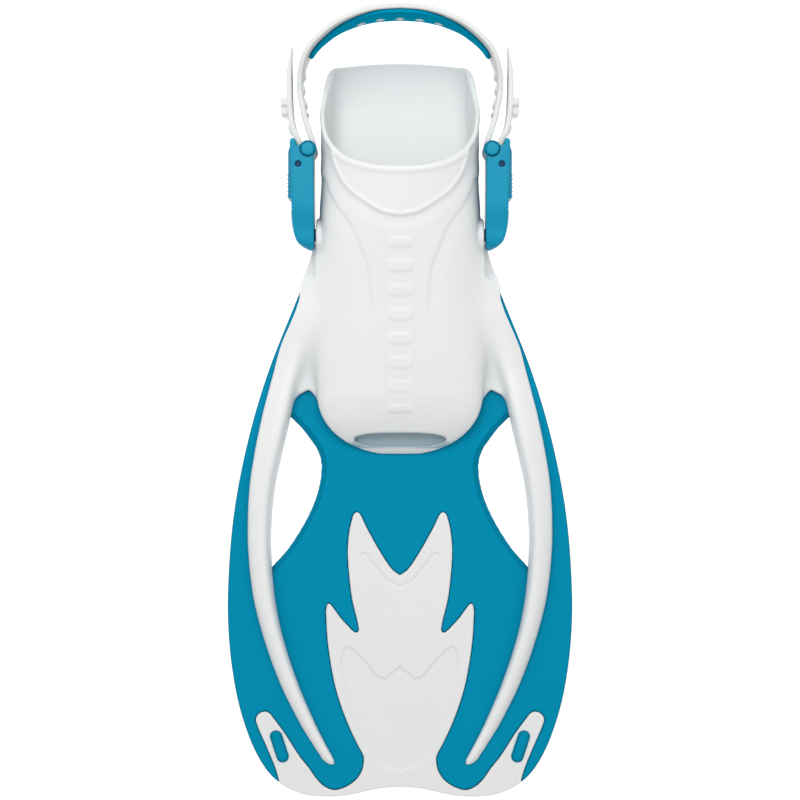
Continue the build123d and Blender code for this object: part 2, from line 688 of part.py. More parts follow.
with BuildPart() as right_lever_spring:
    with BuildLine() as coil:
        Helix(pitch=0.9, height=1.8, radius=SPRING_RADIUS, center=(LEVER_X, LEVER_Y, PIVOT_Z - 0.9))
    with BuildSketch(Plane(origin=coil.line @ 0, z_dir=coil.line % 0)):
        Circle(SPRING_WIRE / 2)
    sweep(path=coil.line, is_frenet=True)
    with BuildSketch(Plane(origin=coil.line @ 0, z_dir=(0, -1, 0))):
        Circle(SPRING_WIRE / 2)
    extrude(amount=SPRING_LEG)

RIGHT_PIECES = {
    "buckle_frame": right_buckle_frame,
    "roller_pin": right_roller_pin,
    "lever_pin": right_lever_pin,
    "release_lever": right_release_lever,
    "lever_spring": right_lever_spring,
    "pivot_stud": right_pivot_stud,
    "rail": right_rail,
}
for name, right_piece in RIGHT_PIECES.items():
    with BuildPart() as left_piece:
        mirror(right_piece.part, about=Plane.YZ)
    finish(left_piece, f"left_{name}")
    finish(right_piece, f"right_{name}")

finish(blade, "blade")
finish(foot_pocket, "foot_pocket")
finish(channel_panel, "channel_panel")
finish(heel_strap, "heel_strap")
finish(heel_pad, "heel_pad")
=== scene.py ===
"""Open-heel swim fin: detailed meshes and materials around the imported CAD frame."""

from math import cos, pi, radians, sin

import bpy
import numpy as np
import openvdb
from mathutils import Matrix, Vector


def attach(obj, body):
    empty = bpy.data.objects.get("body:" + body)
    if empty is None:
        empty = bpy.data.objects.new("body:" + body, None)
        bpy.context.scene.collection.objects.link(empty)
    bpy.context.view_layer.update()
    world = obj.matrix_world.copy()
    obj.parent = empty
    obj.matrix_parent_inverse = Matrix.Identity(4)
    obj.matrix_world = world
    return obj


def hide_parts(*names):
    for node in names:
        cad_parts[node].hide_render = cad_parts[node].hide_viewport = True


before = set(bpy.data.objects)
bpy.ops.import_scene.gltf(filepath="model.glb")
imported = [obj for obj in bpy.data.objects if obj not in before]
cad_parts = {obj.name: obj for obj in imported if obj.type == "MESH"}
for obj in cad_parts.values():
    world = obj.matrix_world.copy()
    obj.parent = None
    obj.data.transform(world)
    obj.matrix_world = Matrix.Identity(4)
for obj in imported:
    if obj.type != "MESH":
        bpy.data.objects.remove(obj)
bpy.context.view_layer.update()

# All shapes below are worked out in millimetres and written in metres. Their Y has its origin near
# the toes, and every mesh is moved by MIDDLE_SHIFT into the CAD frame.
MM = 0.001
MIDDLE_SHIFT = 4.8
POCKET_STEP = 0.8
BLADE_STEP = 0.6
PANEL_STEP = 0.5
STRAP_STEP = 0.45
BUCKLE_STEP = 0.3
CURVE_POINTS = 14


# ---- small maths ---------------------------------------------------------------------------------
def smooth_min(first, second, blend):
    """Union of two distance fields with a fillet of about the size of blend."""
    share = np.clip(0.5 + 0.5 * (second - first) / blend, 0, 1)
    return second + (first - second) * share - blend * share * (1 - share)


def smooth_max(first, second, blend):
    return -smooth_min(-first, -second, blend)


def smooth_step(low, high, value):
    share = np.clip((value - low) / (high - low), 0, 1)
    return share * share * (3 - 2 * share)


def curve(points):
    """Smooth open curve through a few points, as rows of x, y."""
    p = np.array(points, dtype=float)
    padded = np.vstack([2 * p[0] - p[1], p, 2 * p[-1] - p[-2]])
    rows = []
    for i in range(1, len(padded) - 2):
        chord = padded[i + 1] - padded[i]
        length = np.linalg.norm(chord)
        before = padded[i + 1] - padded[i - 1]
        after = padded[i + 2] - padded[i]
        start = before / np.linalg.norm(before) * length
        end = after / np.linalg.norm(after) * length
        t = np.linspace(0, 1, CURVE_POINTS, endpoint=False)[:, None]
        rows.append((2 * t**3 - 3 * t**2 + 1) * padded[i] + (t**3 - 2 * t**2 + t) * start
                    + (-2 * t**3 + 3 * t**2) * padded[i + 1] + (t**3 - t**2) * end)
    rows.append(p[-1:])
    return np.vstack(rows)


def join(*pieces):
    """One closed outline from curves and loose points laid end to end."""
    return np.vstack([np.atleast_2d(np.array(piece, dtype=float)) for piece in pieces])


def line_distance(line, x, y, closed=False):
    """Distance to a run of points, with the arc length and the side of the nearest place."""
    best = np.full(x.shape, 1e9)
    along = np.zeros(x.shape)
    side = np.ones(x.shape)
    ends = np.roll(line, -1, axis=0) if closed else line[1:]
    starts = line if closed else line[:-1]
    travelled = 0.0
    for (ax, ay), (bx, by) in zip(starts, ends):
        dx, dy = bx - ax, by - ay
        length2 = dx * dx + dy * dy
        if length2 < 1e-9:
            continue
        share = np.clip(((x - ax) * dx + (y - ay) * dy) / length2, 0, 1)
        off_x, off_y = x - ax - share * dx, y - ay - share * dy
        distance = np.sqrt(off_x**2 + off_y**2)
        nearer = distance < best
        best = np.where(nearer, distance, best)
        along = np.where(nearer, travelled + share * length2**0.5, along)
        side = np.where(nearer, np.sign(dx * off_y - dy * off_x), side)
        travelled += length2**0.5
    return best, along, side


def outline_distance(outline, x, y):
    """Signed distance to a closed outline, negative inside."""
    distance, _, _ = line_distance(outline, x, y, closed=True)
    inside = np.zeros(x.shape, dtype=bool)
    for (ax, ay), (bx, by) in zip(outline, np.roll(outline, -1, axis=0)):
        if ay == by:
            continue
        crosses = (ay > y) != (by > y)
        inside ^= crosses & (x < (bx - ax) * (y - ay) / (by - ay) + ax)
    return np.where(inside, -distance, distance)


def rounded_and(first, second, radius):
    """Intersection of two distance fields with its edge rounded."""
    a, b = first + radius, second + radius
    return np.sqrt(np.maximum(a, 0)**2 + np.maximum(b, 0)**2) + np.minimum(np.maximum(a, b), 0) - radius


def steady(field, step):
    """Rescale a field so that it changes by about one per millimetre."""
    slope = np.sqrt(sum(part**2 for part in np.gradient(field, step)))
    return field / np.maximum(slope, 1e-3)


class Grid:
    """Sample points of a box, with the plan (x, y) kept apart for fields that need no height."""

    def __init__(self, low, high, step):
        self.low, self.step = np.array(low, dtype=float), step
        counts = [int(round((b - a) / step)) + 1 for a, b in zip(low, high)]
        xs, ys, zs = [a + step * np.arange(n) for a, n in zip(low, counts)]
        self.plan_x, self.plan_y = np.meshgrid(xs, ys, indexing="ij")
        self.x = self.plan_x[:, :, None].astype(np.float32)
        self.y = self.plan_y[:, :, None].astype(np.float32)
        self.z = zs[None, None, :].astype(np.float32)

    def mesh(self, name, field, flip=False):
        """Smooth closed mesh of the field's zero surface, or of its mirror image across the fin."""
        level = openvdb.FloatGrid(float(3 * self.step))
        level.gridClass = openvdb.GridClass.LEVEL_SET
        clipped = np.clip(field, -3 * self.step, 3 * self.step).astype(np.float32)
        level.copyFromArray(np.ascontiguousarray(clipped), tolerance=0.0)
        points, quads = level.convertToQuads()
        points = (points * self.step + self.low + (0, MIDDLE_SHIFT, 0)) * MM
        quads = quads[:, ::-1]
        if flip:
            points = points * (-1, 1, 1)
            quads = quads[:, ::-1]
        mesh = bpy.data.meshes.new(name)
        mesh.from_pydata(points.tolist(), [], quads.tolist())
        mesh.update()
        piece = bpy.data.objects.new(name, mesh)
        bpy.context.collection.objects.link(piece)
        mesh.shade_smooth()
        return piece


# ---- the fin's own lines -------------------------------------------------------------------------
HEEL, KNEE, TIP = (188.0, 6.0), (-15.0, 30.0), (-228.2, 3.0)
KNEE_BLEND = 4.4
PLATE = 3.0


def arch(y):
    """Height of the top of the plate, with its knee rounded."""
    heel_side = HEEL[1] + (HEEL[0] - y) * (KNEE[1] - HEEL[1]) / (HEEL[0] - KNEE[0])
    tip_side = TIP[1] + (y - TIP[0]) * (KNEE[1] - TIP[1]) / (KNEE[0] - TIP[0])
    return smooth_min(heel_side, tip_side, KNEE_BLEND)


def mirrored(half):
    """Closed outline from its right half, which starts and ends on the plane of symmetry."""
    half = np.array(half)
    left = half[::-1] * (-1, 1)
    return np.vstack([half, left])


OUTER_EDGE = curve([(50, 78), (58.5, 55.7), (74.3, 14.9), (86.0, -25.6), (94.0, -66.3), (97.6, -110),
                    (97.0, -140), (93.5, -167), (88.4, -187), (81.4, -204.3), (72.5, -217), (59.5, -225.3),
                    (45.0, -228.0), (30, -227.2), (12, -223.4), (0, -222.4)])
TONGUE_EDGE = curve([(0, 182), (22, 180), (31, 172), (30, 130), (31, 90)])
VENT_EDGE = curve([(61.4, -11.0), (53.4, -19.5), (45.6, -32.0), (45.0, -45.0), (50.5, -62.9), (62.5, -83.4),
                   (74.5, -97.0)])
VENT_RAIL_SIDE = curve([(74.5, -97.0), (78.0, -80.0), (75.0, -48.0), (66.5, -14.0), (61.4, -11.0)])
VENT_OUTLINE = join(VENT_EDGE, VENT_RAIL_SIDE)
BLADE_OUTLINE = mirrored(join(TONGUE_EDGE, OUTER_EDGE))
PANEL_EDGE = join(
    curve([(0, -99.9), (4.5, -96.5), (11, -86.8), (18.6, -73.1), (21.6, -66.6)]),
    curve([(22.6, -64.9), (24.4, -64.0), (26.2, -65.2)]),
    curve([(26.9, -67.0), (28.6, -74.0), (29.7, -86.0), (28.9, -100.5), (27.2, -114.2), (24.4, -126),
           (23.5, -131)]),
    curve([(24.0, -132.8), (25.4, -132.8)]),
    curve([(27.3, -131.4), (33.5, -124.5), (38.6, -117.4)]),
    curve([(40.2, -116.0), (41.6, -117.0)]),
    curve([(42.2, -121), (41.2, -138.3), (38.1, -159.1), (34.5, -173.0), (29.4, -186.9), (24.6, -197.3),
           (21.1, -204.3), (20.9, -207.8), (22.0, -213.0), (25.5, -218.3), (31.5, -222.4), (37.8, -224.1),
           (43.4, -221.8), (47.5, -217.8), (52.0, -211.3), (57.4, -204.3), (66.2, -190.4), (73.8, -179.9)]),
    curve([(75.3, -178.8), (77.4, -178.4), (80.2, -179.5), (82.3, -182.4), (81.4, -187), (77.1, -197.3),
           (71.5, -211.3), (69.0, -220.0)]),
    [(70, -236), (-20, -236), (-20, -110), (-4, -98.5)],
)
PILL_CENTRE = (68.9, -198.8)
PILL_ANGLE = 72.6
PILL_HALF_LENGTH = 6.1
PILL_RADIUS = 3.2
PILL_HEIGHT = 1.7
PILL_ROUNDING = 1.6
VENT_BEVEL = 3.6
BEVEL_DROP = 2.2
PANEL_RECESS = 1.7
PANEL_DEPTH = 1.6
PANEL_PROUD = 0.3
SHALLOW_DEPTH = 0.6
VEE_DEPTH = 0.5
PANEL_GAP = 0.12

# Rail: y, inner edge, outer edge, height above the plate, depth below it
RAIL_LINE = np.array([
    (96, 34.0, 45.0, 2.0, 1.0),
    (78, 38.0, 49.0, 6.5, 1.2),
    (62, 43.0, 55.8, 9.0, 2.0),
    (45, 48.0, 61.6, 11.0, 2.6),
    (30, 52.5, 66.9, 12.0, 3.0),
    (12, 56.8, 72.3, 12.5, 3.2),
    (-8, 60.9, 77.5, 12.5, 3.5),
    (-26, 65.0, 81.4, 12.5, 3.8),
    (-45, 69.6, 84.8, 12.5, 4.0),
    (-62, 72.0, 86.2, 12.0, 4.0),
    (-80, 73.0, 86.6, 11.5, 4.0),
    (-97, 72.4, 85.6, 10.8, 3.8),
    (-114, 70.7, 83.5, 10.0, 3.5),
    (-131, 67.6, 79.4, 8.8, 3.0),
    (-148, 62.8, 74.2, 7.5, 2.5),
    (-166, 56.5, 67.4, 6.2, 1.9),
    (-187, 47.5, 57.0, 4.6, 1.2),
    (-204, 38.8, 46.5, 3.2, 0.8),
    (-214, 32.8, 40.0, 2.6, 0.6),
])
RAIL_END_Y = -209.6
RAIL_END_ROUND = 5.0
RAIL_POWER = 2.3
RAIL_SKEW = 0.62


def smoothed(table, y, column, samples, reach):
    """A measure at y from a table of stations, smoothed over reach samples to each side."""
    stations = table[::-1]
    fine = np.linspace(stations[0, 0], stations[-1, 0], samples)
    values = np.interp(fine, stations[:, 0], stations[:, column])
    kernel = np.hanning(2 * reach + 1)
    padded = np.pad(values, reach, mode="reflect", reflect_type="odd")
    return np.interp(y, fine, np.convolve(padded, kernel / kernel.sum(), mode="valid"))


def along_rail(y, column):
    return smoothed(RAIL_LINE, y, column, 600, 20)


def rail_field(grid):
    """Both rails: a rounded section with its crest towards the middle of the fin."""
    y = grid.plan_y[:1]
    inner, outer, height, depth = [along_rail(y, column)[:, :, None] for column in (1, 2, 3, 4)]
    y = y[:, :, None]
    past = np.clip(RAIL_END_Y + RAIL_END_ROUND - y, 0, None) / RAIL_END_ROUND
    end = np.sqrt(np.clip(1 - past**2, 1e-4, 1))
    middle, half = (inner + outer) / 2, (outer - inner) / 2 * (0.25 + 0.75 * end)
    across = (np.abs(grid.x) - middle + half) / (2 * half)
    skewed = np.where(across < 1, across + RAIL_SKEW * across * (1 - across),
                      1 + (1 - RAIL_SKEW) * (across - 1))
    over = grid.z - (arch(y) - PLATE / 2)
    reach = np.where(over > 0, (height + PLATE / 2) * (0.3 + 0.7 * end), depth + PLATE / 2)
    shape = np.abs(2 * skewed - 1)**RAIL_POWER + np.abs(over / reach)**RAIL_POWER
    field = (shape**(1 / RAIL_POWER) - 1) * np.minimum(half, reach)
    return np.maximum(field, RAIL_END_Y - y)


# Foot pocket: y, sole half-width, greatest half-width, its height, crest height
POCKET_LINE = np.array([
    (206, 36.0, 43.0, 36, 88),
    (165, 38.0, 44.0, 38, 85),
    (130, 39.0, 44.2, 38, 81),
    (95, 40.5, 45.0, 37, 73.5),
    (60, 43.5, 46.5, 36, 64),
    (20, 45.5, 47.3, 36, 55.0),
    (5, 45.4, 46.5, 36, 51.2),
])
TOE_START, TOE_END = 5.0, -31.9
GREATEST_HALF_WIDTH = 48.0
POCKET_WALL = 2.0
TREAD = 4.5
SWIVEL = (91.0, 40.0)
SWIVEL_BOSS_RADIUS = 9.0
SWIVEL_BOSS_X = 46.8
FLANK_X = 47.0
SIDE_EDGE_X = 46.9
HEEL_END_Y = 190.7
HEEL_CORNER_X = 39.6
HEEL_CORNER_RADIUS = 3.5
RIM_HEIGHT = 0.5
DRAIN_Y, DRAIN_HALF_WIDTH, DRAIN_HALF_LENGTH = -22.9, 25.7, 3.7
GROOVE_PITCH = 10.0
WINDOW_Y, WINDOW_HALF_LENGTH, WINDOW_HALF_WIDTH, WINDOW_CORNER = 84.0, 28.0, 22.0, 12.0


def along_pocket(y, column):
    return smoothed(POCKET_LINE, y, column, 400, 30)


def pocket_form(grid, inset, floor):
    """Solid form of the pocket, shrunk by inset, with its sole at floor."""
    y = grid.plan_y[:1]
    sole, widest, widest_z, crest = [along_pocket(y, column)[:, :, None] for column in (1, 2, 3, 4)]
    y = y[:, :, None]
    toe_end = TOE_END + inset
    into_toe = np.clip((TOE_START - y) / (TOE_START - toe_end), 0, 1.3)
    narrow = np.sign(1 - into_toe) * np.abs(1 - np.clip(into_toe, 0, 2)**2.25)**(1 / 2.1)
    narrow = np.maximum(narrow, 0.02)
    drop = np.abs(1 - np.clip(into_toe, 0, 1)**1.35)**0.85
    plate = arch(y)
    crest = plate + (crest - plate) * np.maximum(drop, 0.04) - inset
    widest = widest * narrow - inset * np.where(into_toe > 0, narrow, 1)
    sole = sole * narrow - inset * np.where(into_toe > 0, narrow, 1)
    widest_z = np.minimum(widest_z, plate + 0.45 * (crest - plate))
    above = np.maximum(grid.z - widest_z, 0) / np.maximum(crest - widest_z, 0.5)
    up_side = np.clip((grid.z - floor) / np.maximum(widest_z - floor, 1), 0, 1)
    side = np.where(grid.z > widest_z, widest, sole + (widest - sole) * up_side**0.6)
    across = np.abs(grid.x) / np.maximum(side, 0.5)
    shape = (across**2.35 + above**2.15)
    field = (shape**(1 / 2.2) - 1) * np.minimum(np.maximum(side, 3), 40)
    field = steady(field, grid.step)
    field = np.maximum(field, 0.7 * (np.abs(grid.x) - GREATEST_HALF_WIDTH))
    field = np.maximum(field, toe_end + 0.7 - y)
    under = floor - grid.z
    return rounded_and(field, under, 2.0 if inset == 0 else 4.0)


MOUTH_POINTS = ((116.5, 92.0), (152.0, 48.5), (193.5, 10.0))
BAR_PITCH = 13.2


def circle_through(a, b, c):
    """Centre and radius of the circle through three points."""
    (ax, ay), (bx, by), (cx, cy) = a, b, c
    d = 2 * (ax * (by - cy) + bx * (cy - ay) + cx * (ay - by))
    a2, b2, c2 = ax * ax + ay * ay, bx * bx + by * by, cx * cx + cy * cy
    centre = ((a2 * (by - cy) + b2 * (cy - ay) + c2 * (ay - by)) / d,
              (a2 * (cx - bx) + b2 * (ax - cx) + c2 * (bx - ax)) / d)
    return centre, ((ax - centre[0])**2 + (ay - centre[1])**2)**0.5


def instep_relief(x, y):
    """Height of the raised and sunk lines on the top of the pocket, by plan position."""
    # step along a U, and a bead on its edge
    half = curve([(0, 100.2), (9, 101.8), (16.5, 106), (26.6, 113.2), (33.7, 123), (37.6, 134)])
    bead = np.vstack([half[::-1], half * (-1, 1)])
    near_bead, _, side = line_distance(bead[::3], x, y)
    within = np.where(side > 0, near_bead, -near_bead)
    relief = 0.75 * np.exp(-(near_bead / 1.15)**2) - 0.55 * smooth_step(0.0, 1.6, within) * smooth_step(
        9.0, 3.0, within)
    # sunk line on each side, from the mouth to the middle of the foot
    groove = curve([(42.1, 121), (37.1, 108.4), (26.8, 93.7), (21.3, 80.6), (17.5, 69.6), (16.4, 52.7),
                    (16.4, 32)])
    near_groove, _, side = line_distance(groove[::3], np.abs(x), y)
    outward = np.where(side > 0, near_groove, -near_groove)
    fade = smooth_step(34, 62, y)
    relief = relief - fade * (0.75 * np.exp(-(near_groove / 1.0)**2)
                              + 0.55 * smooth_step(0, 1.5, outward) * smooth_step(8, 2, outward))
    # plain row of rounded bars along the middle
    wave = np.abs(y % BAR_PITCH - BAR_PITCH / 2) - BAR_PITCH * 0.08
    bar = np.sqrt(np.maximum(wave, 0)**2 + np.maximum(np.abs(x) - 4.6, 0)**2)
    bars = smooth_step(3.0, 1.0, bar) * smooth_step(-8.5, -7, y) * smooth_step(88.5, 87, y)
    return relief + 0.5 * bars


def make_pocket_and_rails():
    """Foot pocket, web and both rails as the one moulding that they are on the real fin."""
    grid = Grid((-90, -213, -2), (90, 194, 84), POCKET_STEP)
    plate = arch(grid.y)
    outside = pocket_form(grid, 0, plate - PLATE - TREAD)
    upper = smooth_step(6, 14, grid.z - plate)
    outside = outside - instep_relief(grid.plan_x, grid.plan_y)[:, :, None] * upper

    centre, radius = circle_through(*MOUTH_POINTS)
    behind_mouth = radius - np.sqrt((grid.y - centre[0])**2 + (grid.z - centre[1])**2)
    rim = smooth_step(-3.2, -2.0, behind_mouth)
    outside = outside - RIM_HEIGHT * rim

    # the pocket flows into the rails over a web, which rises towards the middle of the foot
    rise = smooth_step(-4, 52, grid.y)
    web_outline = mirrored(join([(0, 10)], curve([(36, 6), (44, 1.0), (51.2, 4.8)]),
                                [(58, 1.5), (66, 0), (66, 8), (58, 45), (47, 78), (0, 78)]))
    web_plan = outline_distance(web_outline, grid.plan_x, grid.plan_y)[:, :, None]
    web = rounded_and(web_plan, np.abs(grid.z - plate + 1.4 - 6.5 * rise) - 4.0 - 6.5 * rise, 1.4)
    # behind the swivels the rails run out into the sides of the pocket
    run_out = smooth_step(90, 112, grid.y)
    body = smooth_min(outside, rail_field(grid) + 9.0 * run_out, 5.0 + 11.0 * rise * (1 - run_out))
    body = smooth_min(body, web, 5.0 + 11.0 * rise)
    drawn_in = 2.4 * smooth_step(25, 50, grid.plan_y[:1]) - 3.4 * smooth_step(54, 66, grid.plan_y[:1])
    side_edge = np.maximum(along_rail(grid.plan_y[:1], 2) - drawn_in, SIDE_EDGE_X)[:, :, None]
    body = smooth_max(body, np.abs(grid.x) - side_edge - 0.4, 1.6)
    from_swivel = np.sqrt((grid.y - SWIVEL[0])**2 + (grid.z - SWIVEL[1])**2)
    for side in (-1, 1):
        boss = rounded_and(from_swivel - SWIVEL_BOSS_RADIUS, side * grid.x - SWIVEL_BOSS_X, 0.5)
        boss = np.maximum(boss, 41 - side * grid.x)
        body = smooth_min(body, boss, 1.5)
    # flat flanks round the swivels, for the buckles to pass
    room = FLANK_X + 1.2 * np.maximum(33 - grid.z, 0) + 1.2 * np.maximum(from_swivel - 23, 0)
    body = smooth_max(body, (np.abs(grid.x) - room) * 0.7, 0.8)

    # inside, with the sole curling up a little to the heel
    floor = plate + 2.6 + 2.6 * smooth_step(160, 191, grid.y)
    inside = pocket_form(grid, POCKET_WALL, floor)
    body = smooth_max(body, -inside, 0.6)
    body = smooth_max(body, behind_mouth, 0.8)
    # nearly straight heel end with small corners, and the flat that it stands on
    heel_end = grid.y - HEEL_END_Y + 3.2 * (grid.x / 40)**2
    behind = np.abs(grid.y - 175) < 25
    body = np.where(behind, smooth_max(body, heel_end, 1.5), body)
    corner = (np.abs(grid.x) - HEEL_CORNER_X - 0.32 * (187.6 - grid.y)) * 0.95
    corner_cut = rounded_and(corner, heel_end, HEEL_CORNER_RADIUS)
    body = np.where(grid.y > 160, np.maximum(body, corner_cut), body)
    body = rounded_and(body, -grid.z, 0.8)

    # toe drain: a lens seen from above, open into the pocket
    lens = np.sqrt(np.abs(grid.plan_x / DRAIN_HALF_WIDTH)**3.2
                   + ((grid.plan_y - DRAIN_Y) / DRAIN_HALF_LENGTH)**2)
    lens = ((lens - 1) * DRAIN_HALF_LENGTH)[:, :, None]
    drain = np.maximum(lens, plate + 2.2 - grid.z)
    body = smooth_max(body, -drain, 0.9)

    # grooves across the sole, and the window under the arch of the foot
    under_sole = grid.z - (plate - PLATE - TREAD)
    bent_y = grid.y + 18.0 + GROOVE_PITCH / 2 - 6.0 * np.abs(grid.x) / 45
    groove_wave = np.abs(bent_y % GROOVE_PITCH - GROOVE_PITCH / 2)
    groove_cut = np.maximum(groove_wave - 1.1, under_sole - 1.6)
    groove_cut = np.maximum(groove_cut, np.maximum(grid.y - 174, np.abs(grid.x) - 35))
    body = smooth_max(body, -groove_cut, 0.5)
    window = rounded_and(np.abs(grid.x) - WINDOW_HALF_WIDTH,
                         np.abs(grid.y - WINDOW_Y) - WINDOW_HALF_LENGTH, WINDOW_CORNER)
    window = np.maximum(window, grid.z - (plate - PLATE / 2))
    body = smooth_max(body, -window, 0.8)

    # the rigid plate lies in the moulding, which closes over its edge at the shoulders
    plan = outline_distance(BLADE_OUTLINE, grid.plan_x, grid.plan_y)[:, :, None]
    vent = outline_distance(VENT_OUTLINE, np.abs(grid.plan_x), grid.plan_y)[:, :, None]
    slab = np.maximum(np.maximum(plan, -vent), np.abs(grid.z - plate + PLATE / 2) - PLATE / 2)
    slab = np.where(np.abs(grid.x) > 44, np.maximum(slab, grid.y - 60), slab)
    body = np.maximum(body, -slab)
    piece = grid.mesh("pocket_and_rails", body)
    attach(piece, "fin")
    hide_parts("foot_pocket", "left_rail", "right_rail")
    return piece


def make_blade():
    """Rigid blade with vents, bevelled vent lips, pills and the recess for the panel."""
    grid = Grid((-99, -230, -1), (99, 185, 32), BLADE_STEP)
    x, y = grid.plan_x, grid.plan_y
    outline = outline_distance(BLADE_OUTLINE, x, y)
    vent = outline_distance(VENT_OUTLINE, np.abs(x), y)
    panel = outline_distance(PANEL_EDGE, np.abs(x), y)
    pill = pill_distance(x, y)
    bevel = np.clip((VENT_BEVEL - vent) / VENT_BEVEL, 0, 1)
    top = arch(y) - BEVEL_DROP * bevel - PANEL_RECESS * smooth_step(0.25, -0.05, panel) * (pill > 0.2)
    to_rim = np.clip((pill + PILL_ROUNDING) / PILL_ROUNDING, 0, 1)
    dome = PILL_HEIGHT * np.sqrt(np.clip(1 - to_rim**2, 0, 1))
    top = np.where(pill < 0.6, arch(y) + dome, top)
    plan = np.maximum(outline, -vent)[:, :, None]
    low, high = (arch(y) - PLATE)[:, :, None], top[:, :, None]
    slab = np.maximum(low - grid.z, grid.z - high)
    piece = grid.mesh("fin_blade", rounded_and(plan, slab, 0.9))
    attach(piece, "fin")
    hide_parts("blade")
    return piece


def pill_distance(x, y):
    """Signed plan distance to the nearer pill."""
    turn = radians(PILL_ANGLE)
    off_x, off_y = np.abs(x) - PILL_CENTRE[0], y - PILL_CENTRE[1]
    along = np.clip(off_x * cos(turn) + off_y * sin(turn), -PILL_HALF_LENGTH, PILL_HALF_LENGTH)
    return np.hypot(off_x - along * cos(turn), off_y - along * sin(turn)) - PILL_RADIUS


def make_panel():
    """Elastomer inlay of the blade: flame, trailing hem and the two tabs."""
    grid = Grid((-86, -230, -1), (86, -60, 27), PANEL_STEP)
    x, y = grid.plan_x, grid.plan_y
    outline = outline_distance(PANEL_EDGE, np.abs(x), y)
    edge = outline_distance(BLADE_OUTLINE, x, y)
    # field that lies a little lower, and a line along the edge of the vee
    shallow = join(
        curve([(0, -213.1), (10, -209), (18.8, -197.9), (26.8, -181.7), (31.9, -160.8), (33.5, -148.7),
               (30.9, -140.1)]),
        curve([(26.9, -142.4), (18.9, -150.4), (12.5, -157.9), (8.6, -159.7)]),
        [(0, -152), (-9, -160), (-20, -200)])
    inner = outline_distance(shallow, np.abs(x), y)
    vee = mirrored(curve([(0, -106.8), (7.9, -102.2), (16.4, -91.9), (19.8, -87.9), (22.6, -89.6)]))
    vee_line = np.vstack([vee[:len(vee) // 2][::-1], vee[:len(vee) // 2] * (-1, 1)])
    near_vee, _, _ = line_distance(vee_line[::2], x, y)
    top = arch(y) + PANEL_PROUD - SHALLOW_DEPTH * smooth_step(0.6, -0.6, inner)
    top = top - VEE_DEPTH * np.exp(-(near_vee / 0.8)**2)
    hem = smooth_step(-3.4, -2.8, edge) * (y < -200)
    low = arch(y) - PANEL_DEPTH - (PLATE - PANEL_DEPTH) * hem
    plan = np.maximum(outline + PANEL_GAP, edge)
    plan = np.maximum(plan, PANEL_GAP - pill_distance(x, y))
    slab = np.maximum(low[:, :, None] - grid.z, grid.z - top[:, :, None])
    piece = grid.mesh("flame_panel", rounded_and(plan[:, :, None], slab, 0.6))
    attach(piece, "fin")
    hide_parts("channel_panel")
    return piece


# ---- strap ---------------------------------------------------------------------------------------
SWIVEL_Z = 40.0
ROLLER = (51.0, 137.9)
STRAP_THICKNESS = 3.0
STRAP_HALF_HEIGHT = 10.5
HEEL_EXTRA_HEIGHT = 7.3
TOOTH_HEIGHT = 1.3
PULL_X, PULL_Y = 63.3, 161.9
PULL_HALF_WIDTH, PULL_HALF_LENGTH = 2.7, 4.7
WRAP_RADIUS = 1.75 + 0.1 + STRAP_THICKNESS / 2
TOOTH_PITCH = 8.2
PAD_THICKNESS = 2.2
PAD_LENGTH = 61.0
PAD_END_HEIGHT = 5.2
PAD_EXTRA_HEIGHT = 11.0
LOZENGE_PITCH = 11.6
LOZENGE_HALF_WIDTH = 3.3
LOZENGE_HALF_HEIGHT = 3.4
LOZENGE_SLOPE = 2.3
PEG_GAP = 0.15


def strap_line():
    """Centre line of the right half: loop, turn round the roller and free end, and their lengths."""
    loop = curve([(0, 216.6), (14, 215.4), (27.5, 211.4), (39.5, 204.7), (51.3, 192.3), (55.7, 175.6),
                  (53.2, 157.5), (49.4, 145.2), (ROLLER[0] - WRAP_RADIUS, ROLLER[1])])
    turns = np.linspace(pi, 2 * pi, 14)[1:]
    turn = np.stack([ROLLER[0] + WRAP_RADIUS * np.cos(turns), ROLLER[1] + WRAP_RADIUS * np.sin(turns)],
                    axis=1)
    free = curve([turn[-1], (56.3, 143.2), (58.9, 149), (60.6, 157), (61.4, 171), (61.2, 184),
                  (60.2, 195)])[1:]
    stretches = (loop, np.vstack([loop[-1:], turn]), np.vstack([turn[-1:], free]))
    lengths = [np.sum(np.hypot(*np.diff(part, axis=0).T)) for part in stretches]
    return np.vstack([loop, turn, free]), lengths


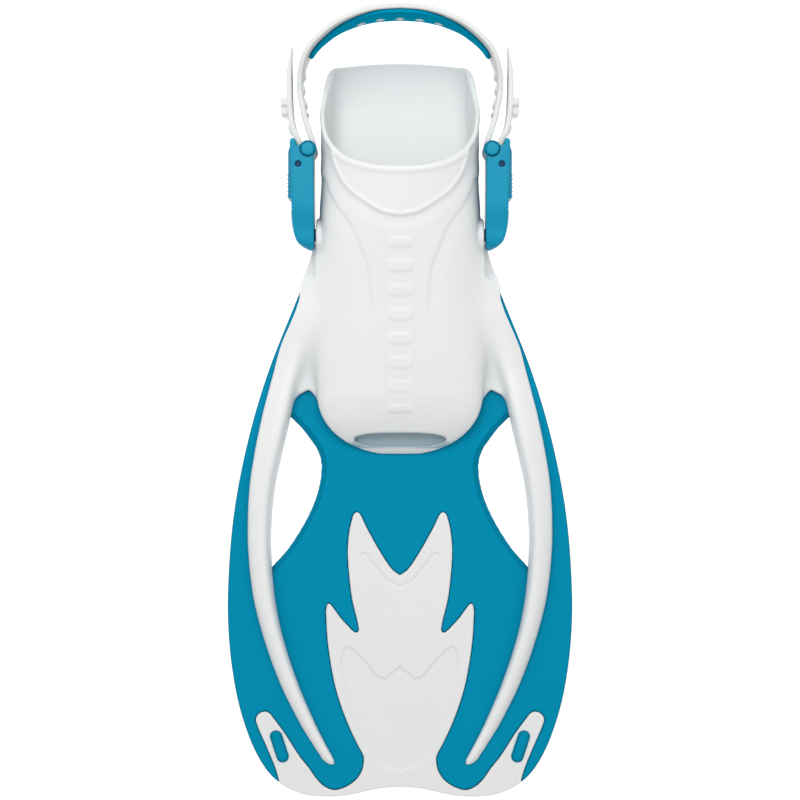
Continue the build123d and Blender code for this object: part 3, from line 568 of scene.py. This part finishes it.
def make_strap():
    """Toothed strap, its free ends and their pull blocks; and the heel pad inside it."""
    grid = Grid((-68, 130, 19), (68, 221, 61), STRAP_STEP)
    x, y = np.abs(grid.plan_x), grid.plan_y
    line, (loop_length, turn_length, free_length) = strap_line()
    line = line[::2] if len(line) % 2 else np.vstack([line[::2], line[-1:]])
    distance, along, side = line_distance(line, x, y)
    foot_side = side < 0
    start = loop_length + turn_length
    in_loop = (along > 70) & (along < loop_length - 20)
    in_free = (along > start + 5) & (along < start + 20)
    phase = np.where(in_loop, (along - 72.0) / TOOTH_PITCH, (along - start - 13.0) / TOOTH_PITCH)
    wave = np.abs(phase - np.round(phase)) * 2
    tooth = TOOTH_HEIGHT * smooth_step(0.90, 0.20, wave) * (in_loop | in_free)
    taper = 1 - 0.7 * smooth_step(0.68, 1.0, (along - start) / free_length)
    heel_share = smooth_step(168, 196, y) * (along < loop_length)
    half_height = STRAP_HALF_HEIGHT * (0.55 + 0.45 * np.minimum(taper * 1.4, 1))
    half_height = half_height + HEEL_EXTRA_HEIGHT * heel_share
    ribs = tooth[:, :, None] * smooth_step(9.4, 8.4, np.abs(grid.z - SWIVEL_Z))
    reach = (STRAP_THICKNESS / 2 * taper)[:, :, None] + np.where(foot_side[:, :, None], ribs, 0)
    from_middle = np.abs(grid.z - SWIVEL_Z)
    band = rounded_and(distance[:, :, None] - reach, from_middle - half_height[:, :, None], 0.9)
    block = np.maximum(np.abs(x - PULL_X) - PULL_HALF_WIDTH, np.abs(y - PULL_Y) - PULL_HALF_LENGTH)
    block = block[:, :, None]
    block_height = (STRAP_HALF_HEIGHT - 1.6 * smooth_step(162.6, 161.6, y))[:, :, None]
    pull = rounded_and(block, from_middle - block_height, 0.9)
    # lozenge pegs, which fill the windows of the pad
    signed = np.where(foot_side, distance, -distance)
    pad_height = (PAD_END_HEIGHT + PAD_EXTRA_HEIGHT * smooth_step(62, 4, along))[:, :, None]
    from_peg = np.abs(along / LOZENGE_PITCH - np.round(along / LOZENGE_PITCH)) * LOZENGE_PITCH
    lozenge = (from_peg[:, :, None] / LOZENGE_HALF_WIDTH
               + np.abs(grid.z - SWIVEL_Z + 0.5 * pad_height) / LOZENGE_HALF_HEIGHT - 1)
    lozenge = np.maximum(lozenge * LOZENGE_SLOPE, along[:, :, None] - 2.5 * LOZENGE_PITCH)
    peg_reach = (STRAP_THICKNESS / 2 + PAD_THICKNESS + 0.1) / 2
    peg_ends = (np.abs(signed - peg_reach) - peg_reach)[:, :, None]
    peg = rounded_and(lozenge + PEG_GAP, peg_ends, 0.3)
    band = np.minimum(band, peg)
    strap = grid.mesh("toothed_strap", smooth_min(band, pull, 0.8))
    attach(strap, "strap_assembly")
    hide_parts("heel_strap")

    # pad: thin shell on the foot side, deepest in the middle, with a row of lozenge windows
    pad_end = (along - PAD_LENGTH + 2)
    pad_middle = STRAP_THICKNESS / 2 + PAD_THICKNESS / 2 - 0.1
    face = (np.abs(signed - pad_middle) - PAD_THICKNESS / 2)[:, :, None]
    rounding = np.maximum(from_middle - pad_height + 4, 0)
    ends = np.sqrt(np.maximum(pad_end[:, :, None] + 2, 0)**2 + rounding**2) - 4
    on_loop = np.where(along < loop_length, -9, 9)[:, :, None]
    pad = rounded_and(face, np.maximum(ends, on_loop), 0.8)
    pad = smooth_max(pad, -lozenge, 0.3)
    heel_pad = grid.mesh("soft_heel_pad", pad)
    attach(heel_pad, "strap_assembly")
    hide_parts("heel_pad")
    return strap, heel_pad


# ---- buckles -------------------------------------------------------------------------------------
CHEEK_INSIDE, CHEEK_OUTSIDE = 11.1, 13.3
LEVER_PIN = (56.3, 129.7)
LEVER_HOLE_RADIUS = 1.75
STUD_CENTRE_Y = SWIVEL[0]
FRAME_END_RADIUS = 9.0
ROLLER_BOSS_RADIUS = 4.9
ROLLER_BORE_RADIUS = 1.95
HEAD_RING_RADIUS = 4.0
FLANK_SWELL = 1.1
SOCKET_RADIUS, SOCKET_X = 5.7, 52.2
SHANK_RADIUS = 3.7
FRAME_EDGE = join(
    curve([(61.0, 141.5), (60.6, 128), (60.4, 118), (60.0, 106), (59.3, 98), (57.6, 90), (54.8, 85.2),
           (51.0, 82.6)]),
    [(48.4, 82.1), (47.6, 84), (47.5, 100), (47.7, 118), (47.7, 133), (50.0, 137), (53.0, 140.2),
     (57.2, 140.2)],
    curve([(57.5, 142.4), (58.2, 143.6), (59.2, 144.0), (60.3, 143.6), (60.9, 142.6)]))


def make_buckle(side_name, flip):
    """Buckle frame: two rounded cheeks round the strap channel, boss, lever hole and stud socket."""
    grid = Grid((45.5, 80.0, 24.5), (62.9, 145.9, 55.5), BUCKLE_STEP)
    x, y, height = grid.plan_x, grid.plan_y, grid.z - SWIVEL_Z
    plan = outline_distance(FRAME_EDGE, x, y)
    boss = np.hypot(x - ROLLER[0], y - ROLLER[1])
    plan = smooth_min(plan, boss - ROLLER_BOSS_RADIUS, 0.5)[:, :, None]
    # the lower half of the outer flank swells at mid-height
    swell = FLANK_SWELL * smooth_step(122, 98, y) * smooth_step(82, 88, y) * smooth_step(52, 58, x)
    plan = plan - swell[:, :, None] * np.clip(1 - (height / 12)**2, 0, 1)
    # seen from the side: full height at the roller, drawn in round the stud
    grown = smooth_step(STUD_CENTRE_Y, 107, grid.y)
    reach = FRAME_END_RADIUS + (CHEEK_OUTSIDE - FRAME_END_RADIUS) * grown
    below = np.maximum(STUD_CENTRE_Y - grid.y, 0)
    reach = np.where(below > 0, np.sqrt(np.clip(FRAME_END_RADIUS**2 - below**2, 0.01, None)), reach)
    body = rounded_and(plan, np.abs(height) - reach, 1.2)
    # channel for the strap and the lever
    channel = np.maximum(np.abs(height) - CHEEK_INSIDE, 104.5 - grid.y)
    channel = np.maximum(channel, np.where(grid.y < 132, 50.2 - grid.x, -9))
    body = smooth_max(body, -channel, 0.5)
    # ring round the roller's head, lever pin hole with a soft edge, stud socket
    ring = (np.abs(boss - HEAD_RING_RADIUS) - 0.35)[:, :, None]
    body = smooth_max(body, -np.maximum(ring, CHEEK_OUTSIDE - 0.8 - np.abs(height)), 0.3)
    hole = np.hypot(x - LEVER_PIN[0], y - LEVER_PIN[1])[:, :, None] - LEVER_HOLE_RADIUS
    body = smooth_max(body, -np.maximum(hole, 9 - np.abs(height)), 0.5)
    bore = boss[:, :, None] - ROLLER_BORE_RADIUS
    body = np.maximum(body, -np.maximum(bore, 9 - np.abs(height)))
    from_stud = np.sqrt((grid.y - STUD_CENTRE_Y)**2 + height**2)
    socket = np.maximum(from_stud - SOCKET_RADIUS, SOCKET_X - grid.x)
    shank = from_stud - SHANK_RADIUS
    body = smooth_max(body, -np.minimum(socket, shank), 0.4)
    frame_piece = grid.mesh(f"{side_name}_rounded_frame", body, flip)
    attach(frame_piece, "strap_assembly")
    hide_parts(f"{side_name}_buckle_frame")
    return frame_piece


# ---- materials -----------------------------------------------------------------------------------
def material(name, colour, roughness, specular=0.3, grain=0.0, grain_scale=900, mottle=0.0, subsurface=0.0,
             crevice_shade=0.25, edge=0.15, shade=(0.5, 0.5, 0.5), depth=0.02, slope_shade=0.0,
             toe_shade=None):
    """Moulded plastic or elastomer: fine grain and uneven gloss, with painted shade in creases, on sloping
    faces and where little light reaches, and a painted highlight on edges."""
    made = bpy.data.materials.new(name)
    made.use_nodes = True
    nodes, links = made.node_tree.nodes, made.node_tree.links
    shader = nodes["Principled BSDF"]
    shader.inputs["IOR"].default_value = 1.48
    shader.inputs["Specular IOR Level"].default_value = specular
    shader.inputs["Subsurface Weight"].default_value = subsurface
    shader.inputs["Subsurface Scale"].default_value = 0.003
    place = nodes.new("ShaderNodeTexCoord")
    broad = nodes.new("ShaderNodeTexNoise")
    broad.inputs["Scale"].default_value = 28
    broad.inputs["Detail"].default_value = 3
    links.new(place.outputs["Object"], broad.inputs["Vector"])

    def mix(first, second, factor):
        node = nodes.new("ShaderNodeMix")
        node.data_type = "RGBA"
        for socket, value in (("A", first), ("B", second)):
            if isinstance(value, tuple):
                node.inputs[socket].default_value = (*value, 1)
            else:
                links.new(value, node.inputs[socket])
        links.new(factor, node.inputs["Factor"])
        return node.outputs["Result"]

    def ramp(source, low, high, start, stop):
        node = nodes.new("ShaderNodeMapRange")
        for socket, value in (("From Min", low), ("From Max", high), ("To Min", start), ("To Max", stop)):
            node.inputs[socket].default_value = value
        links.new(source, node.inputs["Value"])
        return node.outputs["Result"]

    tinted = mix(tuple(c * (1 - mottle) for c in colour), colour, broad.outputs["Fac"])
    bend = nodes.new("ShaderNodeNewGeometry").outputs["Pointiness"]
    shade_tone = tuple(c * 0.62 for c in colour)
    raised = tuple(min(c * 1.12 + 0.03, 1) for c in colour)
    # painted shade: concave places, found by pointiness, are darkened towards a dark copy of the colour
    shaded = mix(tinted, shade_tone, ramp(bend, 0.5, 0.42, 0, crevice_shade))
    # painted highlight: convex edges, found by pointiness, are lightened towards a light copy of the colour
    edge_highlighted = mix(shaded, raised, ramp(bend, 0.54, 0.62, 0, edge))
    # painted shade: bevels and other sloping faces, by the tilt of their normal, are a little darker than
    # the flats
    split = nodes.new("ShaderNodeSeparateXYZ")
    links.new(nodes.new("ShaderNodeNewGeometry").outputs["Normal"], split.inputs["Vector"])
    slope_shaded = mix(edge_highlighted, shade_tone, ramp(split.outputs["Z"], 0.97, 0.90, 0, slope_shade))
    # painted shade: places that little light reaches, found by ambient occlusion, take a cooler, deeper
    # tone
    cavity = nodes.new("ShaderNodeAmbientOcclusion")
    cavity.inputs["Distance"].default_value = depth
    cavity.samples = 8
    deep = mix(slope_shaded, shade, ramp(cavity.outputs["AO"], 0.9, 0.15, 0, 0.85))
    if toe_shade:
        # painted shade on the closed end of the pocket, which is seen through the drain and gets little
        # light
        spot = nodes.new("ShaderNodeSeparateXYZ")
        links.new(place.outputs["Object"], spot.inputs["Vector"])
        toe_shade_mask = ramp(spot.outputs["Z"], 0.0350, 0.0335, 0, 1)
        for axis, edge_at, full_at in (("Y", -0.010, -0.013), ("Y", -0.0236, -0.0226), ("X", 0.029, 0.026),
                                       ("X", -0.029, -0.026)):
            product = nodes.new("ShaderNodeMath")
            product.operation = "MULTIPLY"
            links.new(toe_shade_mask, product.inputs[0])
            links.new(ramp(spot.outputs[axis], edge_at, full_at, 0, 1), product.inputs[1])
            toe_shade_mask = product.outputs["Value"]
        deep = mix(deep, toe_shade, toe_shade_mask)
    links.new(deep, shader.inputs["Base Color"])
    gloss = ramp(broad.outputs["Fac"], 0, 1, roughness - 0.05, roughness + 0.06)
    links.new(gloss, shader.inputs["Roughness"])
    fine = nodes.new("ShaderNodeTexNoise")
    fine.inputs["Scale"].default_value = grain_scale
    fine.inputs["Detail"].default_value = 2
    links.new(place.outputs["Object"], fine.inputs["Vector"])
    bump = nodes.new("ShaderNodeBump")
    bump.inputs["Strength"].default_value = grain
    bump.inputs["Distance"].default_value = 0.0003
    links.new(fine.outputs["Fac"], bump.inputs["Height"])
    links.new(bump.outputs["Normal"], shader.inputs["Normal"])
    return made


BLADE_BLUE = (0.0, 0.262, 0.435)
BUCKLE_BLUE = (0.0, 0.285, 0.45)
PAD_BLUE = (0.0, 0.33, 0.53)
WHITE = (0.82, 0.83, 0.825)
PANEL_WHITE = (0.79, 0.795, 0.79)
STRAP_WHITE = (0.75, 0.765, 0.75)


def finish_surface(piece, made):
    piece.data.materials.clear()
    piece.data.materials.append(made)


def node_material(node, made):
    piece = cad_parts[node]
    for slot in piece.material_slots:
        slot.material = made


# ---- stage ---------------------------------------------------------------------------------------
CAMERA_HEIGHT = 1.4
FRAME_WIDTH = 0.4592
FRAME_CENTRE_Y = MIDDLE_SHIFT * MM - 0.00086
SENSOR_WIDTH = 36
FLOOR_GLOW = 0.9
HORIZON_LIGHT = 0.30
ZENITH_LIGHT = 0.88
KEY_POWER = 10.0


def make_camera():
    data = bpy.data.cameras.new("camera")
    data.sensor_width = SENSOR_WIDTH
    data.lens = SENSOR_WIDTH * CAMERA_HEIGHT / FRAME_WIDTH
    data.clip_end = 20
    camera = bpy.data.objects.new("camera", data)
    camera.location = (0, FRAME_CENTRE_Y, CAMERA_HEIGHT)
    bpy.context.collection.objects.link(camera)
    bpy.context.scene.camera = camera


def area_light(name, place, size, power):
    data = bpy.data.lights.new(name, "AREA")
    data.shape = "DISK"
    data.size = size
    data.energy = power
    light = bpy.data.objects.new(name, data)
    light.location = place
    light.rotation_euler = (Vector((0, 0, 0)) - Vector(place)).to_track_quat("-Z", "Y").to_euler()
    bpy.context.collection.objects.link(light)


def make_stage():
    """White floor that shows no shadow, and light that falls from above and fades to the horizon."""
    bpy.ops.mesh.primitive_plane_add(size=6, location=(0, 0, -0.0005))
    floor = bpy.context.object
    floor.name = "floor"
    paper = bpy.data.materials.new("white_backdrop")
    paper.use_nodes = True
    shader = paper.node_tree.nodes["Principled BSDF"]
    shader.inputs["Base Color"].default_value = (0.35, 0.35, 0.35, 1)
    shader.inputs["Roughness"].default_value = 1.0
    shader.inputs["Specular IOR Level"].default_value = 0.0
    shader.inputs["Emission Color"].default_value = (1, 1, 1, 1)
    shader.inputs["Emission Strength"].default_value = FLOOR_GLOW
    finish_surface(floor, paper)
    world = bpy.data.worlds.new("studio")
    bpy.context.scene.world = world
    world.use_nodes = True
    nodes, links = world.node_tree.nodes, world.node_tree.links
    direction = nodes.new("ShaderNodeTexCoord").outputs["Generated"]
    split = nodes.new("ShaderNodeSeparateXYZ")
    links.new(direction, split.inputs["Vector"])
    fade = nodes.new("ShaderNodeMapRange")
    fade.inputs["From Min"].default_value = 0.0
    fade.inputs["From Max"].default_value = 0.9
    fade.inputs["To Min"].default_value = HORIZON_LIGHT
    fade.inputs["To Max"].default_value = ZENITH_LIGHT
    links.new(split.outputs["Z"], fade.inputs["Value"])
    links.new(fade.outputs["Result"], nodes["Background"].inputs["Strength"])
    nodes["Background"].inputs["Color"].default_value = (1, 1, 1, 1)
    area_light("key", (-0.15, 0.8, 1.3), 1.0, KEY_POWER)


bpy.context.scene.view_settings.view_transform = "Standard"
make_camera()
make_stage()
pocket = make_pocket_and_rails()
blade = make_blade()
panel = make_panel()
strap, heel_pad = make_strap()
frames = [make_buckle("right", False), make_buckle("left", True)]

elastomer = material("white_elastomer", WHITE, 0.45, grain=0.12, mottle=0.02, subsurface=0.05,
                     shade=(0.34, 0.42, 0.47), depth=0.010, toe_shade=(0.36, 0.48, 0.54))
strap_elastomer = material("strap_elastomer", STRAP_WHITE, 0.45, grain=0.12, mottle=0.02, subsurface=0.05,
                           shade=(0.60, 0.64, 0.64), depth=0.005)
inlay = material("panel_elastomer", PANEL_WHITE, 0.48, grain=0.15, mottle=0.02, subsurface=0.05,
                 shade=(0.4, 0.46, 0.5))
blade_plastic = material("blade_plastic", BLADE_BLUE, 0.42, specular=0.03, grain=0.06, mottle=0.06,
                         shade=(0.0, 0.19, 0.32), depth=0.012, slope_shade=0.6)
pad_rubber = material("pad_rubber", PAD_BLUE, 0.6, specular=0.0, grain=0.2, mottle=0.06,
                      shade=(0.0, 0.16, 0.27), depth=0.012)
buckle_plastic = material("buckle_plastic", BUCKLE_BLUE, 0.28, specular=0.22, grain=0.04, mottle=0.04,
                          crevice_shade=0.9, edge=0.5, shade=(0.0, 0.07, 0.16), depth=0.006)
pin_plastic = material("pin_plastic", (0.0, 0.045, 0.13), 0.4, specular=0.2, grain=0.04, mottle=0.04,
                       shade=(0.0, 0.02, 0.06), depth=0.004)
steel = material("spring_steel", (0.6, 0.6, 0.62), 0.25, specular=0.5)
finish_surface(pocket, elastomer)
finish_surface(strap, strap_elastomer)
finish_surface(panel, inlay)
finish_surface(blade, blade_plastic)
finish_surface(heel_pad, pad_rubber)
for frame_piece in frames:
    finish_surface(frame_piece, buckle_plastic)
for side_name in ("left", "right"):
    node_material(f"{side_name}_lever_pin", pin_plastic)
    for part_name in ("roller_pin", "release_lever", "pivot_stud"):
        node_material(f"{side_name}_{part_name}", buckle_plastic)
    node_material(f"{side_name}_lever_spring", steel)
